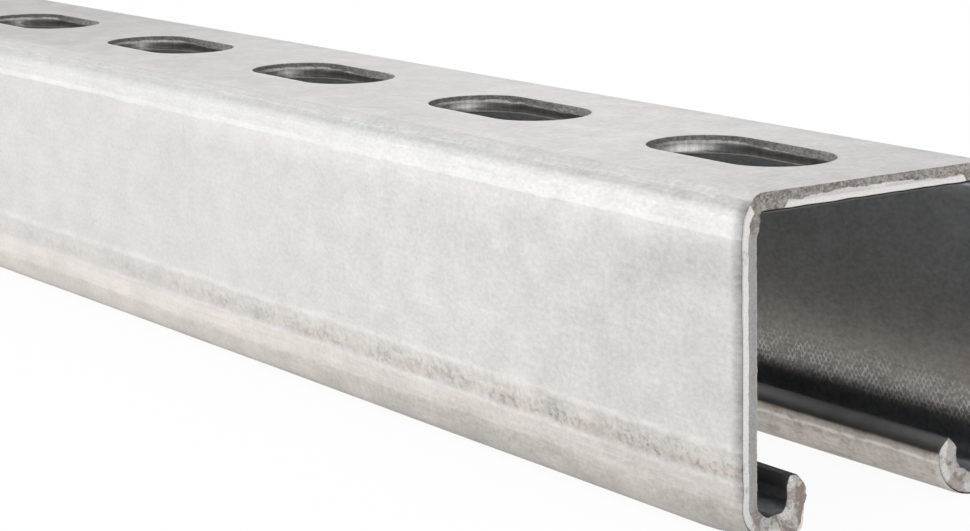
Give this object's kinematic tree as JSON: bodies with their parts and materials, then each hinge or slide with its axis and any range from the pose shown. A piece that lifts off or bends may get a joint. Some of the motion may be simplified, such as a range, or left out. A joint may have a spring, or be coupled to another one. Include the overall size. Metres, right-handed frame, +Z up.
{
  "type": "strut channel",
  "caption": "Slotted strut channel: a C-section of rolled sheet steel with inturned lips, round-ended slots along its web, lying open side down.",
  "frame": {"origin": "on the floor under the middle of the channel's length, midway between its two lips", "axes": "+X along the length, towards the cut end that the picture shows; +Y across, to the wall away from the picture's camera; +Z up, out of the slotted web"},
  "size_m": [0.6096, 0.0412, 0.0413],
  "materials": {
    "galvanised_steel": "pre-galvanised sheet, dull silver-grey with a fine mottle"
  },
  "bodies": {
    "root": {"strut_channel": "galvanised_steel"}
  },
  "joints": []
}
